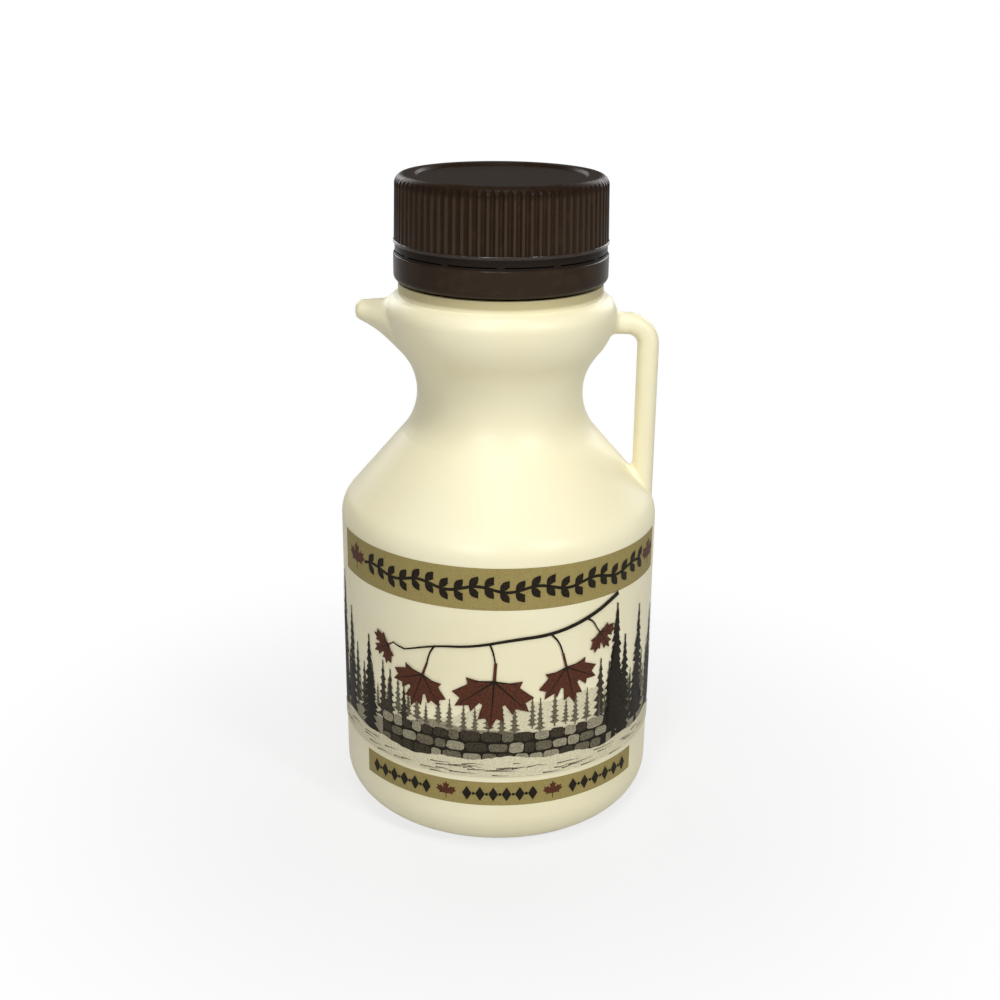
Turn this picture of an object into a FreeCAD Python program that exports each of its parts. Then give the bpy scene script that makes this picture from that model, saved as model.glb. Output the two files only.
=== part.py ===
import FreeCAD, Part

import math
import os
from dataclasses import dataclass

import Sketcher

# A half-pint maple syrup jug: a blow-moulded body with a pouring beak and a loop handle, shut
# by a ribbed screw cap with a tamper band. Millimetres, +Z up, origin on the jug's axis at the
# plane it stands on, handle toward +X and beak toward -X.

SIZES = {
    # Body: a straight barrel under a conical shoulder.
    "body_radius": 32.0,
    "base_round": 7.8,
    "stand_radius": 17.0,
    "push_up": 2.2,
    "shoulder_height": 61.7,
    "shoulder_round": 6.5,
    # Waist and collar: an ogee from the narrowest ring up to the widest ring below the cap.
    "waist_radius": 16.5,
    "waist_rise": 25.2,
    "waist_round": 12.5,
    "collar_radius": 22.6,
    "collar_rise": 16.2,
    "collar_round": 3.4,
    "shelf_inset": 1.7,
    "shelf_rise": 3.3,
    # Neck: a plain ring under the cap, then the finish that the cap screws on to.
    "neck_radius": 20.0,
    "neck_rise": 2.3,
    "finish_radius": 17.5,
    "finish_rise": 18.9,
    # Beak: four oval sections from inside the collar out to the blunt tip.
    "beak_reach": 5.8,
    "beak_top": 1.75,
    "beak_root_reach": 0.5,
    "beak_root_width": 22.0,
    "beak_root_depth": 12.2,
    "beak_throat_inset": 1.6,
    "beak_throat_width": 16.0,
    "beak_throat_depth": 8.5,
    "beak_middle_reach": 1.6,
    "beak_middle_width": 8.6,
    "beak_middle_depth": 6.0,
    "beak_tip_width": 3.9,
    "beak_tip_depth": 3.4,
    "beak_tip_drop": 0.3,
    "beak_tip_round": 1.5,
    "beak_blend": 2.5,
    # Handle: a bar of rounded section, out of the collar and straight down to the shoulder.
    "handle_inset": 0.7,
    "handle_thickness": 4.2,
    "handle_width": 4.4,
    "handle_edge": 1.9,
    "handle_bend": 4.3,
    "handle_drop": 2.55,
    "handle_root": 4.0,
    "handle_foot": 3.0,
    "handle_root_blend": 2.0,
    "handle_foot_blend": 0.8,
    # Cap: a fluted, slightly drafted skirt over a tamper band, seated on the finish's rim.
    "thread_room": 1.1,
    "skirt_wall": 1.6,
    "skirt_lean": 0.22,
    "band_room": 0.4,
    "band_height": 5.3,
    "band_proud": 0.65,
    "band_foot_round": 1.2,
    "band_edge_round": 0.2,
    "recess_depth": 0.3,
    "recess_height": 2.0,
    "bead_height": 0.6,
    "bead_proud": 0.12,
    "bead_round": 0.1,
    "crown_thickness": 1.7,
    "crown_round": 1.9,
    "dish_rim": 3.6,
    "dish_depth": 0.5,
    "dish_wall": 0.5,
    # Ribs: what is left between the flutes, which run out through the round of the crown.
    "rib_count": 80,
    "rib_depth": 0.5,
    "flute_floor": 0.35,
    "flute_mouth": 1.2,
    # Tamper slits: cut through the recess, with bridges left between them.
    "slit_count": 12,
    "slit_height": 0.25,
    "slit_lift": 0.4,
    "bridge_width": 1.4,
}

SHEET = "sizes"
NEAR = 0.01
START, END, CENTRE = 1, 2, 3
ORIGIN = (-1, 1)
HORIZONTAL_AXIS, VERTICAL_AXIS = -1, -2


@dataclass(frozen=True)
class Measure:
    """A length that carries its number and the sheet expression that drives it."""

    number: float
    text: str

    def __add__(self, other):
        return Measure(self.number + other.number, f"({self.text} + {other.text})")

    def __sub__(self, other):
        return Measure(self.number - other.number, f"({self.text} - {other.text})")

    def __mul__(self, factor):
        return Measure(self.number * factor, f"({self.text} * {factor})")


def size(name):
    """The measure of one named size."""
    return Measure(SIZES[name], f"{SHEET}.{name}")


def fixed(number):
    """A measure that no cell drives."""
    return Measure(number, f"{number}")


ZERO = fixed(0.0)

# Heights above the standing plane.
WAIST_Z = size("shoulder_height") + size("waist_rise")
COLLAR_Z = WAIST_Z + size("collar_rise")
SHELF_Z = COLLAR_Z + size("shelf_rise")
NECK_Z = SHELF_Z + size("neck_rise")
RIM_Z = NECK_Z + size("finish_rise")
CAP_Z = NECK_Z + size("band_room")

# Radii and heights of the cap, counted from its bottom edge.
BORE_RADIUS = size("finish_radius") + size("thread_room")
SKIRT_RADIUS = BORE_RADIUS + size("skirt_wall")
RIB_RADIUS = SKIRT_RADIUS + size("rib_depth")
BEAD_Z = size("band_height") + size("recess_height")
RIB_Z = BEAD_Z + size("bead_height")
SEAT_Z = size("finish_rise") - size("band_room")
CROWN_Z = SEAT_Z + size("crown_thickness")
RIB_TOP_Z = CROWN_Z - size("crown_round")


class Outline:
    """A sketch on one of its body's origin planes, drawn and bound to the sheet."""

    def __init__(self, body, name, plane, offset=ZERO):
        self.sketch = body.newObject("Sketcher::SketchObject", name)
        origin_plane = next(f for f in body.Origin.OriginFeatures if f.Role == plane)
        self.sketch.AttachmentSupport = (origin_plane, [""])
        self.sketch.MapMode = "FlatFace"
        self.sketch.AttachmentOffset = FreeCAD.Placement(
            FreeCAD.Vector(0, 0, offset.number), FreeCAD.Rotation()
        )
        self.sketch.setExpression("AttachmentOffset.Base.z", offset.text)

    def line(self, start, end):
        """Add a straight edge between two (x, y) points and return its index."""
        return self.sketch.addGeometry(
            Part.LineSegment(FreeCAD.Vector(*start, 0), FreeCAD.Vector(*end, 0)), False
        )

    def arc(self, centre, radius, first, last):
        """Add an arc, counter-clockwise between two angles in degrees, and return its index."""
        circle = Part.Circle(FreeCAD.Vector(*centre, 0), FreeCAD.Vector(0, 0, 1), radius)
        turn = Part.ArcOfCircle(circle, math.radians(first), math.radians(last))
        return self.sketch.addGeometry(turn, False)

    def fix(self, kind, *where):
        """Add a constraint that has no size."""
        self.sketch.addConstraint(Sketcher.Constraint(kind, *where))

    def bind(self, kind, *where, to):
        """Add a sized constraint and let the sheet drive it."""
        index = self.sketch.addConstraint(Sketcher.Constraint(kind, *where, to.number))
        self.sketch.setExpression(f"Constraints[{index}]", to.text)

    def place(self, edge, point, across=None, up=None):
        """Set how far a point lies from the sketch's origin, along either axis or both."""
        if across is ZERO:
            self.fix("PointOnObject", edge, point, VERTICAL_AXIS)
        elif across is not None:
            self.bind("DistanceX", *ORIGIN, edge, point, to=across)
        if up is ZERO:
            self.fix("PointOnObject", edge, point, HORIZONTAL_AXIS)
        elif up is not None:
            self.bind("DistanceY", *ORIGIN, edge, point, to=up)

    def join(self, *ends, smooth=False):
        """Join two ends, given as edge, point, edge, point, and make them tangent if smooth."""
        self.fix("Tangent" if smooth else "Coincident", *ends)


def tangent_angle(lower, lower_radius, upper, upper_radius):
    """Lean from the vertical, in degrees, of the line that crosses between two arcs.

    The line touches the lower arc on its outer side and the upper arc on its inner side.
    """
    across, up = upper[0] - lower[0], upper[1] - lower[1]
    apart = math.hypot(across, up)
    return math.degrees(math.asin((lower_radius + upper_radius) / apart) - math.atan2(across, up))


def on_arc(centre, radius, angle):
    """The point at an angle in degrees on an arc."""
    turn = math.radians(angle)
    return centre[0] + radius * math.cos(turn), centre[1] + radius * math.sin(turn)


def draw_jug_section(body):
    """Half of the jug's section: base, barrel, shoulder, waist, collar, neck and finish."""
    outline = Outline(body, "JugSection", "XZ_Plane")
    barrel, base_round = size("body_radius"), size("base_round")
    shoulder_round, waist_round = size("shoulder_round"), size("waist_round")
    stand, push_up = size("stand_radius").number, size("push_up").number
    shoulder = (barrel - shoulder_round).number, size("shoulder_height").number
    waist = (size("waist_radius") + waist_round).number, WAIST_Z.number
    lean = tangent_angle(shoulder, shoulder_round.number, waist, waist_round.number)
    # The waist and belly arcs meet where the line between the narrowest and the widest ring
    # crosses them, and each turns by the same angle.
    step = (size("collar_radius") - size("waist_radius")).number
    rise = size("collar_rise").number
    flare = math.degrees(2.0 * math.atan2(step, rise))
    belly_round = (step**2 + rise**2) / (2.0 * step) - waist_round.number
    belly = size("collar_radius").number - belly_round, COLLAR_Z.number
    edge_radius = (size("collar_radius") - size("shelf_inset")).number
    top_round = size("collar_round").number
    top = size("collar_radius").number - top_round, COLLAR_Z.number
    top_angle = math.degrees(math.acos((edge_radius - top[0]) / top_round))
    shelf_edge = on_arc(top, top_round, top_angle)
    dome_radius = (stand**2 + push_up**2) / (2.0 * push_up)
    dome = (0.0, push_up - dome_radius)
    dome_angle = math.degrees(math.atan2(-dome[1], stand))
    neck, finish = size("neck_radius").number, size("finish_radius").number

    foot_x = (barrel - base_round).number
    push = outline.arc(dome, dome_radius, dome_angle, 90.0)
    stand_ring = outline.line((stand, 0.0), (foot_x, 0.0))
    corner = outline.arc((foot_x, base_round.number), base_round.number, -90.0, 0.0)
    wall = outline.line((barrel.number, base_round.number), (barrel.number, shoulder[1]))
    bend = outline.arc(shoulder, shoulder_round.number, 0.0, lean)
    cone = outline.line(
        on_arc(shoulder, shoulder_round.number, lean),
        on_arc(waist, waist_round.number, 180.0 + lean),
    )
    throat = outline.arc(waist, waist_round.number, 180.0 - flare, 180.0 + lean)
    underside = outline.arc(belly, belly_round, -flare, 0.0)
    crest = outline.arc(top, top_round, 0.0, top_angle)
    shelf = outline.line(shelf_edge, (neck, SHELF_Z.number))
    ring = outline.line((neck, SHELF_Z.number), (neck, NECK_Z.number))
    ledge = outline.line((neck, NECK_Z.number), (finish, NECK_Z.number))
    spigot = outline.line((finish, NECK_Z.number), (finish, RIM_Z.number))
    rim = outline.line((finish, RIM_Z.number), (0.0, RIM_Z.number))
    core = outline.line((0.0, RIM_Z.number), (0.0, push_up))

    outline.join(core, END, push, END)
    outline.join(push, START, stand_ring, START)
    outline.join(stand_ring, END, corner, START, smooth=True)
    outline.join(corner, END, wall, START, smooth=True)
    outline.join(wall, END, bend, START, smooth=True)
    outline.join(bend, END, cone, START, smooth=True)
    outline.join(cone, END, throat, END, smooth=True)
    outline.join(throat, START, underside, START, smooth=True)
    outline.join(underside, END, crest, START, smooth=True)
    outline.join(crest, END, shelf, START)
    outline.join(shelf, END, ring, START)
    outline.join(ring, END, ledge, START)
    outline.join(ledge, END, spigot, START)
    outline.join(spigot, END, rim, START)
    outline.join(rim, END, core, START)
    outline.fix("Vertical", wall)
    outline.fix("Vertical", ring)
    outline.fix("Vertical", spigot)
    outline.fix("Horizontal", ledge)
    outline.place(push, CENTRE, across=ZERO)
    outline.place(core, START, across=ZERO, up=RIM_Z)
    outline.place(core, END, across=ZERO, up=size("push_up"))
    outline.place(stand_ring, START, across=size("stand_radius"), up=ZERO)
    outline.place(stand_ring, END, up=ZERO)
    outline.place(wall, END, across=barrel, up=size("shoulder_height"))
    outline.bind("Radius", corner, to=base_round)
    outline.bind("Radius", bend, to=shoulder_round)
    outline.bind("Radius", throat, to=waist_round)
    outline.place(throat, CENTRE, across=size("waist_radius") + waist_round, up=WAIST_Z)
    outline.place(underside, END, across=size("collar_radius"), up=COLLAR_Z)
    outline.place(underside, CENTRE, up=COLLAR_Z)
    outline.bind("Radius", crest, to=size("collar_round"))
    outline.place(crest, END, across=size("collar_radius") - size("shelf_inset"))
    outline.place(shelf, END, across=size("neck_radius"), up=SHELF_Z)
    outline.place(ring, END, up=NECK_Z)
    outline.place(ledge, END, across=size("finish_radius"))
    outline.place(rim, START, up=RIM_Z)
    return outline.sketch


def draw_handle_path(body):
    """The handle's centre line: level out of the collar, round a bend and down the side."""
    outline = Outline(body, "HandlePath", "XZ_Plane")
    start = size("collar_radius") - size("handle_root")
    level = COLLAR_Z - size("handle_drop")
    upright = size("body_radius") - size("handle_inset") - size("handle_thickness") * 0.5
    foot = size("shoulder_height") - size("handle_foot")
    bend = size("handle_bend")
    centre = (upright - bend).number, (level - bend).number
    arm = outline.line((start.number, level.number), (centre[0], level.number))
    elbow = outline.arc(centre, bend.number, 0.0, 90.0)
    grip = outline.line((upright.number, centre[1]), (upright.number, foot.number))
    outline.join(arm, END, elbow, END, smooth=True)
    outline.join(elbow, START, grip, START, smooth=True)
    outline.fix("Horizontal", arm)
    outline.fix("Vertical", grip)
    outline.place(arm, START, across=start, up=level)
    outline.place(grip, END, across=upright, up=foot)
    outline.bind("Radius", elbow, to=bend)
    return outline.sketch


def draw_handle_section(body):
    """The handle's section, a rounded rectangle across the start of its centre line."""
    start = size("collar_radius") - size("handle_root")
    outline = Outline(body, "HandleSection", "YZ_Plane", start)
    edge, level = size("handle_edge"), COLLAR_Z - size("handle_drop")
    half_width, half_thickness = size("handle_width") * 0.5, size("handle_thickness") * 0.5
    right, top = half_width.number, (level + half_thickness).number
    bottom = (level - half_thickness).number
    inner_right, inner_top = right - edge.number, top - edge.number
    inner_bottom = bottom + edge.number
    front = outline.line((right, inner_bottom), (right, inner_top))
    over = outline.line((inner_right, top), (-inner_right, top))
    back = outline.line((-right, inner_top), (-right, inner_bottom))
    under = outline.line((-inner_right, bottom), (inner_right, bottom))
    corners = [
        outline.arc((inner_right, inner_top), edge.number, 0.0, 90.0),
        outline.arc((-inner_right, inner_top), edge.number, 90.0, 180.0),
        outline.arc((-inner_right, inner_bottom), edge.number, 180.0, 270.0),
        outline.arc((inner_right, inner_bottom), edge.number, 270.0, 360.0),
    ]
    for side, corner, following in zip(
        (front, over, back, under), corners, (over, back, under, front)
    ):
        outline.join(side, END, corner, START, smooth=True)
        outline.join(corner, END, following, START, smooth=True)
    for corner in corners[1:]:
        outline.fix("Equal", corners[0], corner)
    outline.fix("Vertical", front)
    outline.bind("Radius", corners[0], to=edge)
    outline.place(front, START, across=half_width)
    outline.place(back, START, across=half_width * -1.0)
    outline.place(over, START, up=level + half_thickness)
    outline.place(under, START, up=level - half_thickness)
    return outline.sketch


def draw_oval(body, name, reach, width, depth, top):
    """An oval section of the beak at a reach from the axis, hung below a top height."""
    outline = Outline(body, name, "YZ_Plane", reach * -1.0)
    centre_z = top - depth * 0.5
    wide = width.number >= depth.number
    long, short = (width, depth) if wide else (depth, width)
    centre = FreeCAD.Vector(0, centre_z.number, 0)
    along = FreeCAD.Vector(1, 0, 0) if wide else FreeCAD.Vector(0, 1, 0)
    across = FreeCAD.Vector(0, 1, 0) if wide else FreeCAD.Vector(-1, 0, 0)
    oval = Part.Ellipse(
        centre + along * (long.number / 2.0), centre + across * (short.number / 2.0), centre
    )
    index = outline.sketch.addGeometry(oval, False)
    outline.sketch.exposeInternalGeometry(index)
    long_axis, short_axis = index + 1, index + 2
    outline.place(index, CENTRE, across=ZERO, up=centre_z)
    outline.fix("Horizontal" if wide else "Vertical", long_axis)
    outline.bind("Distance", long_axis, to=long)
    outline.bind("Distance", short_axis, to=short)
    return outline.sketch


def turn(body, name, section):
    """Turn a section a full round about the upright axis."""
    form = body.newObject("PartDesign::Revolution", name)
    form.Profile = section
    form.ReferenceAxis = (section, ["V_Axis"])
    form.Angle = 360.0
    return form


def edge_names(shape, chosen):
    """Names of the edges of a shape that a test picks."""
    return [f"Edge{n}" for n, edge in enumerate(shape.Edges, 1) if chosen(edge)]


def edge_points(edge, count=5):
    """Points spread evenly inside an edge."""
    span = edge.LastParameter - edge.FirstParameter
    return [
        edge.valueAt(edge.FirstParameter + span * (n + 0.5) / count) for n in range(count)
    ]


def seam_names(before, after, lower=-math.inf, upper=math.inf):
    """Names of the edges, in a range of height, where a feature grows out of an earlier one."""
    skin = Part.Compound(before.Shape.Faces)
    creases = Part.Compound(before.Shape.Edges)

    def is_seam(edge):
        points = [Part.Vertex(point) for point in edge_points(edge)]
        in_range = lower < edge.CenterOfMass.z < upper
        on_skin = all(skin.distToShape(point)[0] < NEAR for point in points)
        return in_range and on_skin and any(
            creases.distToShape(point)[0] > NEAR for point in points
        )

    return edge_names(after.Shape, is_seam)


def round_edges(body, name, base, names, radius):
    """Fillet named edges of a feature."""
    fillet = body.newObject("PartDesign::Fillet", name)
    fillet.Base = (base, names)
    fillet.Radius = radius.number
    fillet.setExpression("Radius", radius.text)
    return fillet


def sweep_handle(body):
    """The loop handle, swept from inside the collar down into the barrel."""
    section, path = draw_handle_section(body), draw_handle_path(body)
    handle = body.newObject("PartDesign::AdditivePipe", "Handle")
    handle.Profile = section
    handle.Spine = (path, [])
    return handle


def loft_beak(body):
    """The pouring beak, lofted through four ovals from inside the collar to its tip."""
    collar, top = size("collar_radius"), COLLAR_Z + size("beak_top")
    sections = [
        ("BeakRoot", size("waist_radius") + size("beak_root_reach"), "beak_root", top),
        ("BeakThroat", collar - size("beak_throat_inset"), "beak_throat", top),
        ("BeakMiddle", collar + size("beak_middle_reach"), "beak_middle", top),
        ("BeakTip", collar + size("beak_reach"), "beak_tip", top - size("beak_tip_drop")),
    ]
    ovals = [
        draw_oval(body, name, reach, size(f"{stem}_width"), size(f"{stem}_depth"), level)
        for name, reach, stem, level in sections
    ]
    beak = body.newObject("PartDesign::AdditiveLoft", "Beak")
    beak.Profile = ovals[0]
    beak.Sections = ovals[1:]
    return beak


def build_jug(document):
    """The blow-moulded jug: a turned form with a lofted beak and a swept handle."""
    body = document.addObject("PartDesign::Body", "Jug")
    body.Label = "jug"
    form = turn(body, "TurnedForm", draw_jug_section(body))
    document.recompute()

    beak = loft_beak(body)
    document.recompute()
    tip_x = -(size("collar_radius") + size("beak_reach")).number
    tip_edge = edge_names(beak.Shape, lambda edge: abs(edge.CenterOfMass.x - tip_x) < NEAR)
    blunt = round_edges(body, "BluntTip", beak, tip_edge, size("beak_tip_round"))
    document.recompute()
    beak_root = round_edges(
        body, "BeakBlend", blunt, seam_names(form, blunt), size("beak_blend")
    )
    document.recompute()

    handle = sweep_handle(body)
    document.recompute()
    middle = WAIST_Z.number
    root = round_edges(
        body, "HandleRootBlend", handle, seam_names(beak_root, handle, lower=middle),
        size("handle_root_blend"),
    )
    document.recompute()
    round_edges(
        body, "HandleFootBlend", root, seam_names(beak_root, root, upper=middle),
        size("handle_foot_blend"),
    )
    document.recompute()
    return body


def draw_cap_section(body):
    """Half of the cap's section: tamper band, recess, bead, skirt, crown, dish and bore."""
    outline = Outline(body, "CapSection", "XZ_Plane")
    bore, ribs = BORE_RADIUS.number, RIB_RADIUS.number
    band_radius = SKIRT_RADIUS + size("band_proud")
    bead_radius = RIB_RADIUS + size("bead_proud")
    recess_radius = band_radius - size("recess_depth")
    lean = size("skirt_lean")
    dish_radius = SKIRT_RADIUS - size("dish_rim")
    dish_floor = CROWN_Z - size("dish_depth")
    foot, edge = size("band_foot_round").number, size("band_edge_round").number
    turned = size("bead_round").number
    crown = size("crown_round").number
    band, band_top = band_radius.number, size("band_height").number
    bead, bead_z, rib_z = bead_radius.number, BEAD_Z.number, RIB_Z.number
    crown_x = (RIB_RADIUS - lean).number
    wall_x = (dish_radius - size("dish_wall")).number

    sole = outline.line((bore, 0.0), (band - foot, 0.0))
    foot_arc = outline.arc((band - foot, foot), foot, -90.0, 0.0)
    band_wall = outline.line((band, foot), (band, band_top - edge))
    edge_arc = outline.arc((band - edge, band_top - edge), edge, 0.0, 90.0)
    shoulder = outline.line((band - edge, band_top), (recess_radius.number, band_top))
    recess = outline.line((recess_radius.number, band_top), (recess_radius.number, bead_z))
    bead_under = outline.line((recess_radius.number, bead_z), (bead - turned, bead_z))
    under_arc = outline.arc((bead - turned, bead_z + turned), turned, -90.0, 0.0)
    bead_wall = outline.line((bead, bead_z + turned), (bead, rib_z - turned))
    over_arc = outline.arc((bead - turned, rib_z - turned), turned, 0.0, 90.0)
    bead_over = outline.line((bead - turned, rib_z), (ribs, rib_z))
    rib_line = outline.line((ribs, rib_z), (crown_x, RIB_TOP_Z.number))
    crown_arc = outline.arc((crown_x - crown, RIB_TOP_Z.number), crown, 0.0, 90.0)
    rim = outline.line((crown_x - crown, CROWN_Z.number), (dish_radius.number, CROWN_Z.number))
    dish_wall = outline.line(
        (dish_radius.number, CROWN_Z.number), (wall_x, dish_floor.number)
    )
    dish = outline.line((wall_x, dish_floor.number), (0.0, dish_floor.number))
    axis = outline.line((0.0, dish_floor.number), (0.0, SEAT_Z.number))
    seat = outline.line((0.0, SEAT_Z.number), (bore, SEAT_Z.number))
    bore_wall = outline.line((bore, SEAT_Z.number), (bore, 0.0))

    outline.join(sole, END, foot_arc, START, smooth=True)
    outline.join(foot_arc, END, band_wall, START, smooth=True)
    outline.join(band_wall, END, edge_arc, START, smooth=True)
    outline.join(edge_arc, END, shoulder, START, smooth=True)
    outline.join(shoulder, END, recess, START)
    outline.join(recess, END, bead_under, START)
    outline.join(bead_under, END, under_arc, START, smooth=True)
    outline.join(under_arc, END, bead_wall, START, smooth=True)
    outline.join(bead_wall, END, over_arc, START, smooth=True)
    outline.join(over_arc, END, bead_over, START, smooth=True)
    outline.join(bead_over, END, rib_line, START)
    outline.join(rib_line, END, crown_arc, START)
    outline.join(crown_arc, END, rim, START, smooth=True)
    outline.join(rim, END, dish_wall, START)
    outline.join(dish_wall, END, dish, START)
    outline.join(dish, END, axis, START)
    outline.join(axis, END, seat, START)
    outline.join(seat, END, bore_wall, START)
    outline.join(bore_wall, END, sole, START)
    for level in (sole, bead_under, bead_over, rim, dish, seat):
        outline.fix("Horizontal", level)
    for upright in (band_wall, recess, bead_wall, bore_wall):
        outline.fix("Vertical", upright)
    outline.place(sole, START, across=BORE_RADIUS, up=ZERO)
    outline.bind("Radius", foot_arc, to=size("band_foot_round"))
    outline.place(band_wall, START, across=band_radius)
    outline.bind("Radius", edge_arc, to=size("band_edge_round"))
    outline.place(recess, START, across=recess_radius, up=size("band_height"))
    outline.fix("Horizontal", shoulder)
    outline.place(recess, END, up=BEAD_Z)
    outline.bind("Radius", under_arc, to=size("bead_round"))
    outline.place(bead_wall, END, across=bead_radius)
    outline.bind("Radius", over_arc, to=size("bead_round"))
    outline.place(bead_over, END, across=RIB_RADIUS, up=RIB_Z)
    outline.place(rib_line, END, across=RIB_RADIUS - lean, up=RIB_TOP_Z)
    outline.bind("Radius", crown_arc, to=size("crown_round"))
    outline.place(crown_arc, CENTRE, up=RIB_TOP_Z)
    outline.place(rim, END, across=dish_radius)
    outline.place(dish, START, across=dish_radius - size("dish_wall"), up=dish_floor)
    outline.place(dish, END, across=ZERO)
    outline.place(seat, START, across=ZERO, up=SEAT_Z)
    return outline.sketch


def draw_flute(body):
    """One flute between two ribs: a flat floor at the skirt and flanks that run past the tips."""
    outline = Outline(body, "FluteSection", "XY_Plane", RIB_Z)
    floor_x, mouth_x = SKIRT_RADIUS, SKIRT_RADIUS + size("rib_depth") * 2.0
    half_floor = size("flute_floor") * 0.5
    half_mouth = size("flute_mouth") - half_floor
    low, high = (floor_x.number, half_floor.number), (mouth_x.number, half_mouth.number)
    floor = outline.line((low[0], low[1]), (low[0], -low[1]))
    right = outline.line((low[0], -low[1]), (high[0], -high[1]))
    mouth = outline.line((high[0], -high[1]), (high[0], high[1]))
    left = outline.line((high[0], high[1]), (low[0], low[1]))
    outline.join(floor, END, right, START)
    outline.join(right, END, mouth, START)
    outline.join(mouth, END, left, START)
    outline.join(left, END, floor, START)
    outline.fix("Symmetric", floor, START, floor, END, HORIZONTAL_AXIS)
    outline.fix("Symmetric", mouth, START, mouth, END, HORIZONTAL_AXIS)
    outline.place(floor, START, across=floor_x, up=half_floor)
    outline.place(mouth, END, across=mouth_x, up=half_mouth)
    return outline.sketch


def draw_slit(body):
    """One tamper slit: an arc-shaped slot through the wall, with half a bridge at each end."""
    outline = Outline(body, "SlitSection", "XY_Plane", size("band_height") + size("slit_lift"))
    inner = BORE_RADIUS - size("skirt_wall") * 0.5
    outer = SKIRT_RADIUS + size("band_proud")
    half_bridge = size("bridge_width") * 0.5
    pitch = 360.0 / SIZES["slit_count"]
    near, far = inner.number, outer.number
    near_angle = math.degrees(math.asin(half_bridge.number / near))
    far_angle = math.degrees(math.asin(half_bridge.number / far))
    inside = outline.arc((0.0, 0.0), near, near_angle, pitch - near_angle)
    outside = outline.arc((0.0, 0.0), far, far_angle, pitch - far_angle)
    first = outline.line(
        on_arc((0.0, 0.0), near, near_angle), on_arc((0.0, 0.0), far, far_angle)
    )
    last = outline.line(
        on_arc((0.0, 0.0), near, pitch - near_angle), on_arc((0.0, 0.0), far, pitch - far_angle)
    )
    middle = outline.line((0.0, 0.0), on_arc((0.0, 0.0), far, pitch / 2.0))
    outline.sketch.setConstruction(middle, True)
    outline.join(inside, START, first, START)
    outline.join(first, END, outside, START)
    outline.join(inside, END, last, START)
    outline.join(last, END, outside, END)
    outline.fix("Coincident", inside, CENTRE, *ORIGIN)
    outline.fix("Coincident", outside, CENTRE, *ORIGIN)
    outline.fix("Coincident", middle, START, *ORIGIN)
    outline.fix("PointOnObject", middle, END, outside)
    outline.fix("Horizontal", first)
    outline.fix("Symmetric", inside, START, inside, END, middle)
    outline.fix("Symmetric", outside, START, outside, END, middle)
    outline.bind("Radius", inside, to=inner)
    outline.bind("Radius", outside, to=outer)
    outline.place(first, START, up=half_bridge)
    half_pitch = Measure(math.radians(pitch / 2.0), f"(180 deg / {SHEET}.slit_count)")
    outline.bind("Angle", HORIZONTAL_AXIS, middle, to=half_pitch)
    return outline.sketch


def cut_round(body, name, sketch, height, count, lean=None):
    """Cut a sketch upward for a height, and repeat the cut round the axis."""
    cut = body.newObject("PartDesign::Pocket", f"{name}Cut")
    cut.Profile = sketch
    cut.Reversed = lean is None
    cut.Length = height.number
    cut.setExpression("Length", height.text)
    if lean is not None:
        cut.UseCustomVector = True
        cut.Direction = FreeCAD.Vector(-lean[0].number, 0.0, lean[1].number)
        cut.AlongSketchNormal = True
    body.Document.recompute()
    ring = body.newObject("PartDesign::PolarPattern", f"{name}Ring")
    ring.Originals = [cut]
    ring.Axis = (sketch, ["N_Axis"])
    ring.Angle = 360.0
    ring.Occurrences = int(SIZES[count])
    ring.setExpression("Occurrences", f"{SHEET}.{count}")
    body.Tip = ring
    body.Document.recompute()
    return ring


def build_cap(document):
    """The screw cap: a turned shell with fluted skirt, tamper slits and a shallow dished top."""
    body = document.addObject("PartDesign::Body", "Cap")
    body.Label = "cap"
    turn(body, "TurnedCap", draw_cap_section(body))
    document.recompute()
    lean = size("skirt_lean"), RIB_TOP_Z - RIB_Z
    cut_round(body, "Flute", draw_flute(body), CROWN_Z - RIB_Z, "rib_count", lean)
    cut_round(body, "Slit", draw_slit(body), size("slit_height"), "slit_count")
    body.Placement = FreeCAD.Placement(FreeCAD.Vector(0, 0, CAP_Z.number), FreeCAD.Rotation())
    body.setExpression("Placement.Base.z", CAP_Z.text)
    document.recompute()
    return body


def check(document, bodies):
    """Stop before anything is written if a feature has failed or a piece isn't one solid."""
    for item in document.Objects:
        if {"Invalid", "Error"} & set(item.State):
            raise RuntimeError(f"{item.Name} is {item.State}")
    for body in bodies:
        shape = body.Shape
        if shape.isNull() or not shape.isValid() or len(shape.Solids) != 1:
            raise RuntimeError(f"{body.Label} is not one valid solid")


def main():
    """Build both pieces, check them and write one file for each."""
    document = FreeCAD.newDocument("SyrupJug")
    sheet = document.addObject("Spreadsheet::Sheet", SHEET)
    for row, (name, value) in enumerate(SIZES.items(), 1):
        sheet.set(f"A{row}", name.replace("_", " "))
        sheet.set(f"B{row}", str(value))
        sheet.setAlias(f"B{row}", name)
    document.recompute()
    bodies = [build_jug(document), build_cap(document)]
    check(document, bodies)
    os.makedirs("parts", exist_ok=True)
    for body in bodies:
        body.Shape.exportStep(os.path.join("parts", f"{body.Label}.step"))
        print(f"{body.Label}: {body.Shape.Volume / 1000.0:.1f} ml of solid")


if __name__ == "__main__":
    main()
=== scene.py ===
"""Half-pint maple syrup jug: plastics, screen-printed bands and picture, and a studio to show it in."""

import logging
import math
import random
from collections.abc import Iterable, Iterator, Mapping, Sequence
from dataclasses import dataclass, field
from enum import Enum

import bmesh
import bpy
from mathutils import Matrix, Vector


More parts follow.
